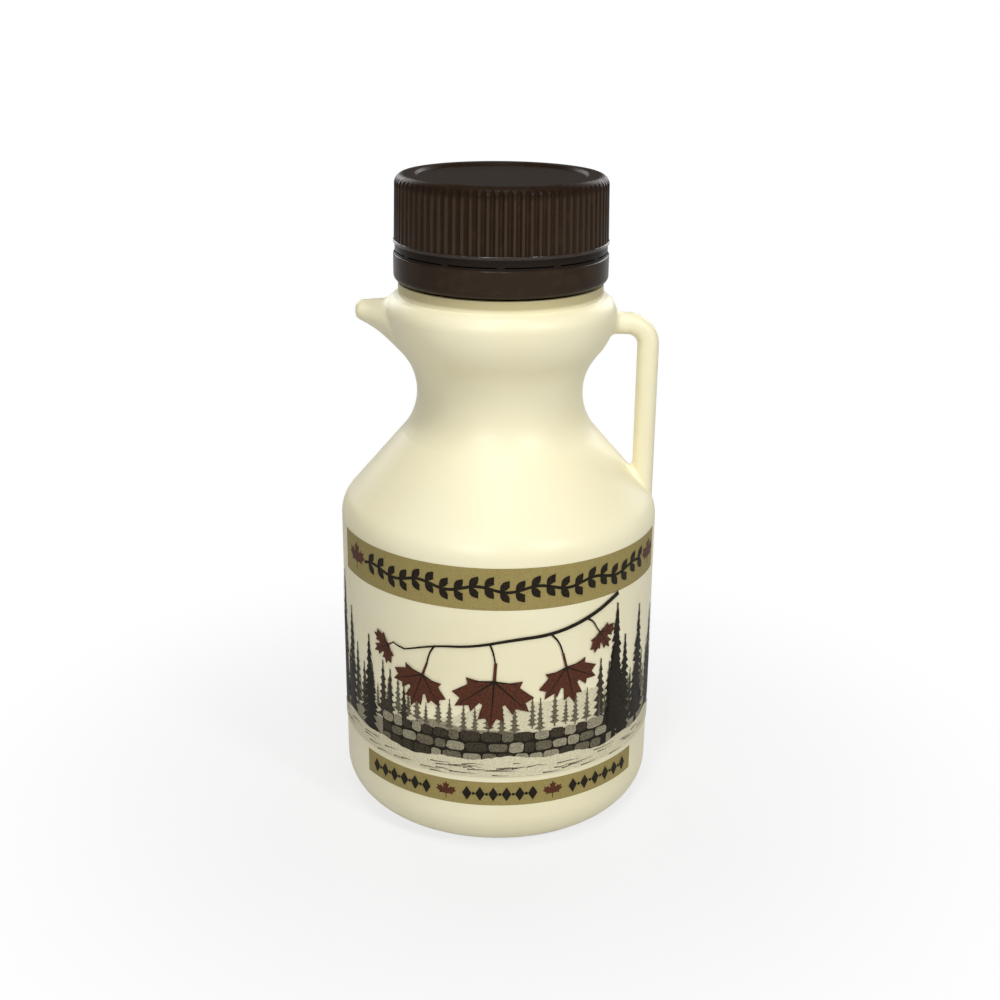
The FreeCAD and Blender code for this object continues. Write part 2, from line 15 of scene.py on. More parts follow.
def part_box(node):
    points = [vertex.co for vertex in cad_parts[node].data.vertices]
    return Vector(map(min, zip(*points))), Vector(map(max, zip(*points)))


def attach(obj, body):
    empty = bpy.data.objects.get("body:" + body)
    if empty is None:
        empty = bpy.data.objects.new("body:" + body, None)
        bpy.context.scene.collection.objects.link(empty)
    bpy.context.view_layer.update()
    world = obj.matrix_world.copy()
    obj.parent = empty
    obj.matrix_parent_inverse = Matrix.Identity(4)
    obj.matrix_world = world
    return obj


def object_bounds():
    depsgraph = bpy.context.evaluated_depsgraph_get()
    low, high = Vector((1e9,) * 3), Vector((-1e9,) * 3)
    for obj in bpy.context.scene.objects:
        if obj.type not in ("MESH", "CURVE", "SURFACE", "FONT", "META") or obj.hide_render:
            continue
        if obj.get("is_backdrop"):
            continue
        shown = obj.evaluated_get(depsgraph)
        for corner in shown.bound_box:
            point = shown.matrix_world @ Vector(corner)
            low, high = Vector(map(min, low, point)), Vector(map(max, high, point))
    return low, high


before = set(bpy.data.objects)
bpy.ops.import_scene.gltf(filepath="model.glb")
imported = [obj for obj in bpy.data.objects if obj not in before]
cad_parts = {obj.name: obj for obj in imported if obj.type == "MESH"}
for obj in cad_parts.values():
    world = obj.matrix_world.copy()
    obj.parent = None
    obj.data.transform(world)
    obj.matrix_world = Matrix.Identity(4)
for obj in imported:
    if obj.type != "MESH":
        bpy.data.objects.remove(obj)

CAD_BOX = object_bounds()

LOG = logging.getLogger("syrup_jug")

MM = 0.001

Colour = tuple[float, float, float, float]
Spot = tuple[float, float]
Span = tuple[float, float]
Panel = tuple[float, float, float, float]
Outline = list[Spot]

WHITE: Colour = (1.0, 1.0, 1.0, 1.0)


def shade(red: int, green: int, blue: int) -> Colour:
    """Turns a display colour into the linear one that a shader takes.

    Args:
        red: Red, 0 to 255.
        green: Green, 0 to 255.
        blue: Blue, 0 to 255.

    Returns:
        The linear colour, with full alpha.
    """
    def linear(value: int) -> float:
        """Undoes the display curve of one channel, with the numbers of the sRGB standard."""
        share = value / 255
        return share / 12.92 if share <= 0.04045 else ((share + 0.055) / 1.055) ** 2.4

    return linear(red), linear(green), linear(blue), 1.0


# --------------------------------------------------------------------------------------------
# Shader maths
# --------------------------------------------------------------------------------------------


class Signal:
    """An output socket that takes part in arithmetic: each operator adds a Math node."""

    def __init__(self, nodes: "Nodes", socket: bpy.types.NodeSocket | None) -> None:
        """Wraps a socket.

        Args:
            nodes: The tree that the socket belongs to.
            socket: The output socket, or None for a node without one.
        """
        self.nodes = nodes
        self.socket = socket

    def math(self, operation: str, *terms: "Feed") -> "Signal":
        """Feeds terms to a Math node.

        Args:
            operation: The Math node's operation.
            terms: Its inputs in order.

        Returns:
            The node's result.
        """
        return self.nodes.add("Math", {"operation": operation}, dict(enumerate(terms)))

    def __add__(self, other: "Feed") -> "Signal":
        """This plus another."""
        return self.math("ADD", self, other)

    def __radd__(self, other: "Feed") -> "Signal":
        """A number plus this."""
        return self.math("ADD", other, self)

    def __sub__(self, other: "Feed") -> "Signal":
        """This less another."""
        return self.math("SUBTRACT", self, other)

    def __rsub__(self, other: "Feed") -> "Signal":
        """A number less this."""
        return self.math("SUBTRACT", other, self)

    def __mul__(self, other: "Feed") -> "Signal":
        """This times another."""
        return self.math("MULTIPLY", self, other)

    def __rmul__(self, other: "Feed") -> "Signal":
        """A number times this."""
        return self.math("MULTIPLY", other, self)

    def __abs__(self) -> "Signal":
        """This without its sign."""
        return self.math("ABSOLUTE", self)

    def ramp(self, low: float, high: float) -> "Signal":
        """Runs smoothly from 0 at one value to 1 at another.

        Args:
            low: The value that gives 0.
            high: The value that gives 1.

        Returns:
            The eased share.
        """
        settings = {"interpolation_type": "SMOOTHSTEP"}
        return self.nodes.add("MapRange", settings, {0: self, 1: low, 2: high, 3: 0.0, 4: 1.0})


Feed = Signal | float | Sequence[float]


class Nodes:
    """Builds one material's or the world's node tree."""

    def __init__(self, tree: bpy.types.NodeTree) -> None:
        """Empties a tree to build in.

        Args:
            tree: The tree.
        """
        tree.nodes.clear()
        self.tree = tree

    def add(
        self,
        kind: str,
        settings: Mapping[str, object] | None = None,
        values: Mapping[str | int, Feed] | None = None,
        out: str | int = 0,
    ) -> Signal:
        """Adds a node.

        Args:
            kind: The node's type, without its ShaderNode prefix.
            settings: Its own settings, set first.
            values: What each input socket holds or is linked to.
            out: Which output to return.

        Returns:
            The chosen output.
        """
        node = self.tree.nodes.new("ShaderNode" + kind)
        for name, setting in (settings or {}).items():
            setattr(node, name, setting)
        for name, value in (values or {}).items():
            if isinstance(value, Signal):
                self.tree.links.new(value.socket, node.inputs[name])
            else:
                node.inputs[name].default_value = value
        return Signal(self, node.outputs[out] if len(node.outputs) else None)

    def blend(self, share: Feed, first: Feed, second: Feed) -> Signal:
        """Mixes two colours.

        Args:
            share: How much of the second, 0 to 1.
            first: The colour at 0.
            second: The colour at 1.

        Returns:
            The mixed colour.
        """
        return self.add("Mix", {"data_type": "RGBA"}, {0: share, 6: first, 7: second}, 2)

    def spots(self) -> Signal:
        """The place on the piece in millimetres."""
        place = self.add("TexCoord", out="Object")
        return self.add("VectorMath", {"operation": "SCALE"}, {0: place, "Scale": 1 / MM})

    def noise(self, place: Signal, size: float, detail: float = 2.0) -> Signal:
        """Soft random blotches.

        Args:
            place: Where, in millimetres.
            size: The size of a blotch in millimetres.
            detail: How many finer layers are added.

        Returns:
            A value about 0.5.
        """
        return self.add("TexNoise", None, {"Vector": place, "Scale": 1 / size, "Detail": detail})

    def surface(self, values: Mapping[str | int, Feed]) -> None:
        """Ends the tree in a Principled shader.

        Args:
            values: The shader's sockets.
        """
        shader = self.add("BsdfPrincipled", None, values)
        self.add("OutputMaterial", None, {"Surface": shader})

    def bump(self, height: Signal, distance: float) -> Signal:
        """Turns a height into a normal.

        Args:
            height: The height, 0 to 1.
            distance: What a height of 1 stands for, in millimetres.

        Returns:
            The normal.
        """
        return self.add("Bump", None, {"Height": height, "Distance": distance * MM})


def new_material(name: str) -> tuple[bpy.types.Material, Nodes]:
    """Makes an empty node material.

    Args:
        name: The material's name.

    Returns:
        The material and its node builder.
    """
    material = bpy.data.materials.new(name)
    material.use_nodes = True
    return material, Nodes(material.node_tree)


# --------------------------------------------------------------------------------------------
# Finishes
# --------------------------------------------------------------------------------------------


@dataclass(frozen=True)
class CreamPlastic:
    """Blow-moulded polyethylene: cream, soft sheen, faint orange peel and a mould line, with a painted
    shadow of the cap on the neck.
    """

    name: str = "cream_polyethylene"
    colour: Colour = shade(239, 232, 199)
    thick: Colour = shade(236, 228, 192)
    # Painted shadow of the cap: the neck just under the cap is a darker cream.
    painted_cap_shadow: Colour = shade(190, 178, 134)
    painted_cap_shadow_levels: Span = (106.6, 107.4)
    blotch_size: float = 22.0
    blotch_band: Span = (0.35, 0.65)
    gloss: Span = (0.38, 0.46)
    gloss_size: float = 5.0
    peel_size: float = 1.6
    peel_depth: float = 0.012
    line_width: float = 0.35
    line_core: float = 0.4
    line_height: float = 0.06
    ior: float = 1.5

    def make(self) -> bpy.types.Material:
        """Builds the material."""
        material, nodes = new_material(self.name)
        place = nodes.spots()
        y, z = (nodes.add("SeparateXYZ", None, {0: place}, axis) for axis in (1, 2))
        tone = nodes.noise(place, self.blotch_size, 1.0).ramp(*self.blotch_band)
        body = nodes.blend(tone, self.colour, self.thick)
        peel = nodes.noise(place, self.peel_size, 1.0)
        line = 1.0 - abs(y).ramp(self.line_width * self.line_core, self.line_width)
        relief = peel * self.peel_depth + line * self.line_height
        low, high = self.gloss
        nodes.surface({
            # The neck just under the cap takes the painted shadow of the cap.
            "Base Color": nodes.blend(z.ramp(*self.painted_cap_shadow_levels), body, self.painted_cap_shadow),
            "Roughness": low + nodes.noise(place, self.gloss_size) * (high - low),
            "IOR": self.ior,
            "Normal": nodes.bump(relief, 1.0),
        })
        return material


@dataclass(frozen=True)
class BrownPlastic:
    """Injection-moulded polypropylene: dark brown, low gloss, faintly scuffed, with painted shade in the
    groove and on the top and painted highlights on the rib crests.
    """

    name: str = "dark_brown_polypropylene"
    colour: Colour = shade(46, 34, 24)
    scuffed: Colour = shade(53, 40, 29)
    # Painted highlight: a lighter brown along the rib crests.
    painted_crest_highlight: Colour = shade(61, 49, 38)
    # Painted shade: the top of the cap is a darker brown than its sides.
    crown: Colour = shade(38, 27, 19)
    # Painted shade in the recess between the tamper band and the bead.
    painted_groove_shade: Colour = shade(30, 22, 15)
    rib_foot: float = 117.0
    rib_radius: float = 20.7
    rib_lean: float = 0.022
    crest_depths: Span = (0.16, 0.02)
    crest_start: float = 0.3
    painted_groove_shade_levels: Span = (114.4, 116.4)
    painted_groove_shade_edge: Span = (0.1, 0.2)
    bead_levels: Span = (116.3, 117.1)
    bead_edge: float = 0.1
    crown_levels: Span = (126.6, 128.2)
    crown_scuff: float = 0.5
    scuff_size: float = 3.0
    scuff_band: Span = (0.48, 0.7)
    coat: float = 0.22
    coat_gloss: float = 0.12
    gloss: Span = (0.34, 0.46)
    grain_size: float = 0.5
    grain_depth: float = 0.004
    ior: float = 1.49
    specular: float = 0.05

    def make(self) -> bpy.types.Material:
        """Builds the material."""
        material, nodes = new_material(self.name)
        place = nodes.spots()
        level = nodes.add("SeparateXYZ", None, {0: place}, 2)
        scuff = nodes.noise(place, self.scuff_size, 4.0).ramp(*self.scuff_band)
        low, high = self.gloss
        # Painted shade: the recess between the band and the bead is darkened.
        foot, head = self.painted_groove_shade_levels
        outer, inner = self.painted_groove_shade_edge
        painted_groove_shade_share = level.ramp(foot - outer, foot + inner) * (1.0 - level.ramp(head - inner, head + outer))
        flat = nodes.add("VectorMath", {"operation": "MULTIPLY"}, {0: place, 1: (1, 1, 0)})
        reach = nodes.add("VectorMath", {"operation": "LENGTH"}, {0: flat}, "Value")
        top = level.ramp(*self.crown_levels)
        # Painted highlight on the rib crests, starting just above the rib foot and left off the top.
        over_foot = level - self.rib_foot
        deep, shallow = (self.rib_radius - depth for depth in self.crest_depths)
        proud = (reach + over_foot * self.rib_lean).ramp(deep, shallow)
        painted_crest_highlight_share = proud * over_foot.ramp(0.0, self.crest_start) * (1.0 - top)
        colour = nodes.blend(painted_crest_highlight_share, nodes.blend(scuff, self.colour, self.scuffed), self.painted_crest_highlight)
        # The top takes the painted shade, lightened where it is scuffed.
        crown = nodes.blend(scuff * self.crown_scuff, self.crown, self.colour)
        colour = nodes.blend(top, colour, crown)
        below, above = self.bead_levels
        edge = self.bead_edge
        bead = level.ramp(below - edge, below + edge) * (1.0 - level.ramp(above - edge, above + edge))
        polish = (1.0 - top) * (self.coat + bead * (1.0 - self.coat))
        nodes.surface({
            "Base Color": nodes.blend(painted_groove_shade_share, colour, self.painted_groove_shade),
            "Roughness": low + scuff * (high - low),
            "IOR": self.ior,
            "Specular IOR Level": self.specular,
            "Coat Weight": polish,
            "Coat Roughness": self.coat_gloss,
            "Normal": nodes.bump(nodes.noise(place, self.grain_size, 1.0), self.grain_depth),
        })
        return material


class InkColour(Enum):
    """The inks of the print: display colour, then the colour of its specks."""

    TAN = ((156, 141, 87), (145, 130, 78))
    BLACK = ((24, 18, 9), (40, 33, 21))
    RUST = ((92, 50, 33), (66, 38, 25))
    PALE = ((218, 211, 180), (198, 191, 161))
    LIGHT = ((158, 151, 128), (122, 115, 94))
    MIDDLE = ((112, 105, 85), (80, 74, 58))
    DARK = ((66, 59, 46), (44, 38, 28))


@dataclass(frozen=True)
class PrintInk:
    """Screen ink on plastic: a flat colour broken by fine specks."""

    colour: InkColour
    speck_size: float = 0.28
    speck_band: Span = (0.42, 0.62)
    gloss: float = 0.5
    gloss_size: float = 2.0
    gloss_swing: float = 0.08
    ior: float = 1.5
    specular: float = 0.15

    def make(self) -> bpy.types.Material:
        """Builds the material."""
        material, nodes = new_material("ink_" + self.colour.name.lower())
        place = nodes.spots()
        main, speck = (shade(*channels) for channels in self.colour.value)
        specks = nodes.noise(place, self.speck_size).ramp(*self.speck_band)
        nodes.surface({
            "Base Color": nodes.blend(specks, main, speck),
            "Roughness": self.gloss + nodes.noise(place, self.gloss_size) * self.gloss_swing,
            "IOR": self.ior,
            "Specular IOR Level": self.specular,
        })
        return material


# --------------------------------------------------------------------------------------------
# Flat artwork and how it lies on the barrel
# --------------------------------------------------------------------------------------------


@dataclass
class Film:
    """Ink of one colour: flat outlines that are wrapped round the barrel.

    An outline is a ring of spots in millimetres: round the barrel from the middle of the
    front, and up from the base. Each outline lies one step over the one before it. Faces and
    edges smaller than a speck are dropped, so that none is left without an area.
    """

    name: str
    ink: InkColour
    radius: float
    lift: float
    outlines: list[Outline] = field(default_factory=list)
    slice_width: float = 0.9
    step: float = 0.0008
    speck: float = 0.0005
    cut_slack: float = 1e-6

    def draw(self, *outlines: Outline) -> None:
        """Adds outlines, each lying over the ones before it."""
        self.outlines.extend(outlines)

    def build(self, material: bpy.types.Material) -> bpy.types.Object:
        """Makes the mesh, cut into narrow slices so that it follows the curve.

        Args:
            material: The ink.

        Returns:
            The new piece.
        """
        flat = bmesh.new()
        for order, outline in enumerate(self.outlines):
            rim = [flat.verts.new((across, up, order * self.step)) for across, up in outline]
            flat.faces.new(rim).normal_update()
        bmesh.ops.triangulate(flat, faces=flat.faces[:], ngon_method="EAR_CLIP")
        reach = [vertex.co.x for vertex in flat.verts]
        first, last = (math.floor(value / self.slice_width) for value in (min(reach), max(reach)))
        for cut in range(first, last + 2):
            parts = flat.verts[:] + flat.edges[:] + flat.faces[:]
            place = (cut * self.slice_width, 0, 0)
            bmesh.ops.bisect_plane(
                flat, geom=parts, plane_co=place, plane_no=(1, 0, 0), dist=self.cut_slack)
        bmesh.ops.dissolve_degenerate(flat, edges=flat.edges[:], dist=self.speck)
        bmesh.ops.triangulate(flat, faces=flat.faces[:])
        bmesh.ops.dissolve_degenerate(flat, edges=flat.edges[:], dist=self.speck)
        normals = []
        for vertex in flat.verts:
            turn = vertex.co.x / self.radius
            out = Vector((math.sin(turn), -math.cos(turn), 0))
            reach_out = self.radius + self.lift + vertex.co.z
            vertex.co = (out * reach_out + Vector((0, 0, vertex.co.y))) * MM
            normals.append(out)
        for face in flat.faces:
            face.smooth = True
            face.normal_update()
            centre = face.calc_center_median()
            if face.normal.dot(Vector((centre.x, centre.y, 0))) < 0:
                face.normal_flip()
        mesh = bpy.data.meshes.new(self.name)
        flat.to_mesh(mesh)
        flat.free()
        mesh.normals_split_custom_set_from_vertices(normals)
        mesh.materials.append(material)
        piece = bpy.data.objects.new(self.name, mesh)
        bpy.context.scene.collection.objects.link(piece)
        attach(piece, "root")
        return piece


def placed(outline: Iterable[Spot], at: Spot, size: float = 1.0, turn: float = 0.0) -> Outline:
    """Scales, turns and moves an outline.

    Args:
        outline: The outline about its own centre.
        at: Where its centre goes.
        size: How much it is scaled.
        turn: How far it is turned anticlockwise, in degrees.

    Returns:
        The moved outline.
    """
    c, s = math.cos(math.radians(turn)) * size, math.sin(math.radians(turn)) * size
    return [(at[0] + x * c - y * s, at[1] + x * s + y * c) for x, y in outline]


def rectangle(left: float, low: float, right: float, high: float) -> Outline:
    """An upright rectangle."""
    return [(left, low), (right, low), (right, high), (left, high)]


def oval(half_width: float, half_height: float, corners: int = 12, power: float = 1.0) -> Outline:
    """An oval about the origin.

    Args:
        half_width: Half its width.
        half_height: Half its height.
        corners: How many points its edge has.
        power: 1 for an oval, less for one with squarer shoulders.

    Returns:
        Its edge.
    """
    def swell(value: float) -> float:
        """Pushes a cosine or sine outwards."""
        return math.copysign(abs(value) ** power, value)

    turns = (math.tau * (corner + 0.5) / corners for corner in range(corners))
    return [(half_width * swell(math.cos(turn)), half_height * swell(math.sin(turn))) for turn in turns]


def pointed(length: float, width: float, steps: int = 5) -> Outline:
    """A blade from the origin upwards, pointed at both ends."""
    side = [(width * 0.5 * math.sin(math.pi * k / steps), length * k / steps) for k in range(steps + 1)]
    return side + [(-x, y) for x, y in reversed(side[1:-1])]


def eased(spine: Sequence[Spot], rounds: int = 3, bite: float = 0.25) -> Outline:
    """Cuts the corners off a line until it runs smoothly.

    Args:
        spine: The points that it goes by.
        rounds: How often its corners are cut.
        bite: The share of each run that a cut takes.

    Returns:
        The smooth line, with the same ends.
    """
    line = list(spine)
    for _ in range(rounds):
        cut = [line[0]]
        for (x0, y0), (x1, y1) in zip(line, line[1:]):
            for share in (bite, 1.0 - bite):
                cut.append((x0 * (1.0 - share) + x1 * share, y0 * (1.0 - share) + y1 * share))
        line = cut + [line[-1]]
    return line


def stroke(spine: Sequence[Spot], start: float, end: float) -> Outline:
    """A brush stroke.

    Args:
        spine: The points that it runs through.
        start: Its width at the first point.
        end: Its width at the last point.

    Returns:
        The stroke's outline.
    """
    left, right = [], []
    for k, (x, y) in enumerate(spine):
        ahead = spine[min(k + 1, len(spine) - 1)]
        behind = spine[max(k - 1, 0)]
        along = Vector((ahead[0] - behind[0], ahead[1] - behind[1])).normalized()
        half = 0.5 * (start + (end - start) * k / (len(spine) - 1))
        left.append((x - along.y * half, y + along.x * half))
        right.append((x + along.y * half, y - along.x * half))
    return right + left[::-1]


@dataclass(frozen=True)
class MapleLeaf:
    """A maple leaf with five lobes, its tip up, about 1 from the centre to the tip."""

    half: tuple[Spot, ...] = (
        (0.00, 1.00), (0.12, 0.72), (0.30, 0.78), (0.22, 0.40), (0.29, 0.36), (0.47, 0.60),
        (0.53, 0.45), (0.84, 0.52), (0.74, 0.30), (0.93, 0.17), (0.58, -0.08), (0.64, -0.24),
        (0.30, -0.18), (0.04, -0.22), (0.035, -0.66),
    )
    tips: tuple[Spot, ...] = ((0.0, 0.86), (0.74, 0.44), (0.52, -0.16))
    root: Spot = (0.0, -0.2)
    stem_end: Spot = (0.0, -0.6)
    vein_taper: float = 0.3

    def outline(self) -> Outline:
        """The whole leaf's edge."""
        return list(self.half) + [(-x, y) for x, y in reversed(self.half[1:])]

    def veins(self, width: float) -> list[Outline]:
        """The main veins, from the stem's end to the tips.

        Args:
            width: A vein's width at the stem.

        Returns:
            The veins' outlines.
        """
        ends = [self.tips[0]] + [(side * x, y) for x, y in self.tips[1:] for side in (1, -1)]
        return [stroke([self.root, end], width, width * self.vein_taper) for end in ends]


@dataclass(frozen=True)
class HangingLeaf:
    """A maple leaf on its stalk.

    Places, the size and the stalk are in millimetres and the turn is in degrees. The veins'
    width is a share of the size, and the sag is how far the stalk's middle is towards the leaf,
    across and up.
    """

    at: Spot
    size: float
    turn: float
    joint: Spot
    vein_width: float = 0.05
    stalk_widths: Span = (0.42, 0.28)
    sag: Span = (0.65, 0.4)
    leaf: MapleLeaf = MapleLeaf()

    def blade(self) -> Outline:
        """The leaf's edge, in its place."""
        return placed(self.leaf.outline(), self.at, self.size, self.turn)

    def veins(self) -> list[Outline]:
        """The leaf's veins, in their place."""
        return [placed(vein, self.at, self.size, self.turn) for vein in self.leaf.veins(self.vein_width)]

    def stalk(self) -> Outline:
        """The stalk, which sags from its joint on the branch to the leaf."""
        end = placed([self.leaf.stem_end], self.at, self.size, self.turn)[0]
        across, up = self.sag
        middle = (
            self.joint[0] * (1.0 - across) + end[0] * across,
            self.joint[1] * (1.0 - up) + end[1] * up,
        )
        return stroke(eased([self.joint, middle, end]), *self.stalk_widths)


@dataclass(frozen=True)
class Spruce:
    """A ragged spruce, one high, standing on the origin; sizes are shares of its height."""

    tiers: int = 11
    spread: float = 0.2
    trunk: float = 0.018
    trunk_height: float = 0.07
    trunk_flare: float = 1.4
    first_tier: float = 0.6
    crown: float = 0.9
    fullness: float = 0.85
    ragged: Span = (0.72, 1.12)
    inner_reach: Span = (0.006, 0.3)
    inner_lift: float = 0.05
    lift: Span = (0.5, 0.9)
    bough_drop: Span = (0.012, 0.035)
    droop: Span = (0.5, 1.1)
    notch: Span = (0.55, 1.15)

    def outline(self, chance: random.Random) -> Outline:
        """The tree's edge.

        Args:
            chance: What makes each tree its own.

        Returns:
            The outline.
        """
        sides = []
        for side in (1, -1):
            edge = []
            for tier in range(self.tiers):
                share = (tier + self.first_tier) / self.tiers
                level = 1.0 - self.crown * share
                reach = self.spread * share ** self.fullness * chance.uniform(*self.ragged)
                inner = reach * self.inner_reach[1] + self.inner_reach[0]
                drop = self.bough_drop[1] * share + self.bough_drop[0]
                edge.append((side * inner, level + self.inner_lift * chance.uniform(*self.lift)))
                edge.append((side * reach, level - drop * chance.uniform(*self.droop)))
                edge.append((side * reach * self.notch[0], level - drop * self.notch[1]))
            edge += [(side * self.trunk, self.trunk_height), (side * self.trunk * self.trunk_flare, 0.0)]
            sides.append(edge)
        return [(0.0, 1.0)] + sides[0] + sides[1][::-1]


@dataclass(frozen=True)
class TreeRow:
    """A row of spruces on a film of its own; sizes are in millimetres."""

    film: str
    ink: InkColour
    count: int
    heights: Span
    foot: float
    clear: float = 0.0
    span: Span = (-50.0, 50.0)
    stray: Span = (0.2, 0.8)
    unevenness: float = 0.8
    least_tiers: int = 7
    tiers_for_height: float = 0.6
    spread: float = 0.19
    slimming: float = 0.0018

    def outlines(self, chance: random.Random) -> list[Outline]:
        """Plants the row and leaves its middle clear; taller trees have more tiers and are slimmer.

        Args:
            chance: What makes each tree its own.

        Returns:
            The trees' outlines.
        """
        left, right = self.span
        trees = []
        for k in range(self.count):
            across = left + (right - left) * (k + chance.uniform(*self.stray)) / self.count
            if abs(across) < self.clear:
                continue
            height = chance.uniform(*self.heights)
            tiers = max(self.least_tiers, int(height * self.tiers_for_height))
            tree = Spruce(tiers=tiers, spread=self.spread - self.slimming * height).outline(chance)
            foot = self.foot + chance.uniform(-self.unevenness, self.unevenness)
            trees.append(placed(tree, (across, foot), height))
        return trees


@dataclass(frozen=True)
class Ridge:
    """A hill that crosses the picture and tapers at its ends; sizes are in millimetres.

    Each wave that makes it has a height, a length and a shift.
    """

    level: float
    waves: tuple[tuple[float, float, float], ...]
    foot: float
    steps: int = 120
    roughness: float = 0.12
    taper_share: float = 0.11
    taper_power: float = 0.6
    foot_stride: int = 8
    foot_sag: float = 0.02

    def outline(self, left: float, right: float, chance: random.Random) -> Outline:
        """The hill's edge.

        Args:
            left: Where it starts.
            right: Where it ends.
            chance: What roughens its line.

        Returns:
            The outline.
        """
        top = []
        for k in range(self.steps + 1):
            across = left + (right - left) * k / self.steps
            rise = sum(tall * math.sin(math.tau * across / length + shift)
                       for tall, length, shift in self.waves)
            taper = min(1.0, min(k, self.steps - k) / (self.steps * self.taper_share)) ** self.taper_power
            height = self.level + rise + chance.uniform(-self.roughness, self.roughness) - self.foot
            top.append((across, self.foot + height * taper))
        base = [(across, self.foot - self.foot_sag) for across, _ in top[1:-1:self.foot_stride]]
        return [(left, self.foot)] + base + [(right, self.foot)] + top[-2:0:-1]


@dataclass(frozen=True)
class StoneWall:
    """A dry-stone wall laid in courses; sizes are in millimetres."""

    left: float = -25.0
    right: float = 24.0
    foot: float = 20.4
    courses: int = 3
    rise: float = 2.35
    top_drop: float = 0.6
    margin: float = 0.1
    joint: float = 0.12
    widths: Span = (2.0, 4.4)
    least_width: float = 1.4
    fill: Span = (0.8, 0.98)
    seat: float = 0.46
    squareness: float = 0.55
    uneven_across: Span = (0.9, 1.04)
    uneven_up: Span = (0.88, 1.06)

    def joints(self) -> Outline:
        """The dark field that shows between the stones."""
        top = self.foot + self.courses * self.rise - self.top_drop
        return rectangle(self.left, self.foot, self.right, top)

    def stones(self, chance: random.Random) -> Iterator[Outline]:
        """Lays the stones one by one, so that each one's ink can be drawn by lot between them.

        Args:
            chance: What makes each stone its own.

        Returns:
            The stones' outlines in turn.
        """
        for course in range(self.courses):
            across = self.left + self.margin
            while across < self.right - self.least_width:
                width = min(chance.uniform(*self.widths), self.right - across)
                height = self.rise * chance.uniform(*self.fill)
                stone = [
                    (x * chance.uniform(*self.uneven_across), y * chance.uniform(*self.uneven_up))
                    for x, y in oval(width * 0.5, height * 0.5, power=self.squareness)
                ]
                yield placed(stone, (across + width * 0.5, self.foot + (course + self.seat) * self.rise))
                across += width + self.joint


@dataclass(frozen=True)
class SnowMarks:
    """Short strokes scattered over the snow; sizes are in millimetres."""

    count: int = 46
    across: Span = (-48.0, 46.0)
    levels: Span = (17.4, 20.4)
    lengths: Span = (1.5, 6.0)
    bend: Span = (-0.15, 0.35)
    fall: Span = (-0.3, 0.3)
    widths: Span = (0.28, 0.05)

    def outlines(self, chance: random.Random) -> list[Outline]:
        """Scatters the strokes.

        Args:
            chance: What scatters them.

        Returns:
            The strokes' outlines.
        """
        marks = []
        for _ in range(self.count):
            across, up = chance.uniform(*self.across), chance.uniform(*self.levels)
            length = chance.uniform(*self.lengths)
            middle = (across + length * 0.5, up + chance.uniform(*self.bend))
            end = (across + length, up + chance.uniform(*self.fall))
            marks.append(stroke([(across, up), middle, end], *self.widths))
        return marks


@dataclass(frozen=True)
class Garland:
    """A waving stem with leaves and berries on both sides; sizes are in millimetres."""

    level: float = 57.05
    count: int = 22
    stops: int = 6
    swing: float = 0.55
    stem: float = 0.62
    blade_length: float = 2.842
    blade_width: float = 1.6
    blade_turns: Span = (-38.0, -142.0)
    berry: float = 0.34
    berry_corners: int = 10
    berry_reach: float = 1.25

    def outlines(self, left: float, right: float) -> list[Outline]:
        """Draws the garland.

        Args:
            left: Where it starts.
            right: Where it ends.

        Returns:
            The stem, then each pair of leaves and of berries.
        """
        pitch = (right - left) / self.count

        def wave(across: float) -> float:
            """The stem's level at a place; a whole wave takes four leaves."""
            return self.level + self.swing * math.sin((across - left) / pitch * math.pi * 0.5)

        last = self.count * self.stops
        spine = [left + (right - left) * k / last for k in range(last + 1)]
        drawn = [stroke([(x, wave(x)) for x in spine], self.stem, self.stem)]
        blade = pointed(self.blade_length, self.blade_width)
        berry = oval(self.berry, self.berry, self.berry_corners)
        for k in range(self.count):
            joint = left + pitch * (k + 0.5)
            drawn += [placed(blade, (joint, wave(joint)), turn=turn) for turn in self.blade_turns]
            gap = joint + pitch * 0.5
            drawn += [placed(berry, (gap, wave(gap) + side * self.berry_reach)) for side in (1, -1)]
        return drawn


@dataclass(frozen=True)
class LozengeRow:
    """A row of lozenges with dots between them; turns are in degrees, sizes in millimetres."""

    turns: Span
    count: int = 6
    level: float = 13.5
    half_width: float = 0.95
    half_height: float = 1.55
    dot: float = 0.32
    dot_corners: int = 10

    def outlines(self, left: float, right: float) -> list[Outline]:
        """Draws the row.

        Args:
            left: Where it starts.
            right: Where it ends.

        Returns:
            The lozenges, each with the dot before it.
        """
        pitch = (right - left) / self.count
        wide, high = self.half_width, self.half_height
        lozenge = [(-wide, 0.0), (0.0, -high), (wide, 0.0), (0.0, high)]
        dot = oval(self.dot, self.dot, self.dot_corners)
        drawn = []
        for k in range(self.count):
            middle = left + pitch * (k + 0.5)
            drawn.append(placed(lozenge, (middle, self.level)))
            if k:
                drawn.append(placed(dot, (middle - pitch * 0.5, self.level)))
        return drawn


@dataclass(frozen=True)
class LeafPair:
    """Two small maple leaves on a band; turns are in degrees, the rest in millimetres."""

    turns: Span
    level: float
    size: float


# --------------------------------------------------------------------------------------------
# Sub-assemblies
# --------------------------------------------------------------------------------------------


def dress(node: str, material: bpy.types.Material) -> None:
    """Gives a CAD node a new material.

    Args:
        node: The node's name.
        material: What it is made of.
    """
    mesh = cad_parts[node].data
    mesh.materials.clear()
    mesh.materials.append(material)


@dataclass
class Jug:
    """The blow-moulded jug with its spout and loop handle."""

    finish: CreamPlastic = field(default_factory=CreamPlastic)

    def build(self) -> list[bpy.types.Object]:
        """Dresses the jug."""
        dress("jug", self.finish.make())
        return [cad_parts["jug"]]


@dataclass
class Cap:
    """The ribbed screw cap with its tamper-evident band."""

    finish: BrownPlastic = field(default_factory=BrownPlastic)

    def build(self) -> list[bpy.types.Object]:
        """Dresses the cap."""
        dress("cap", self.finish.make())
        return [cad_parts["cap"]]


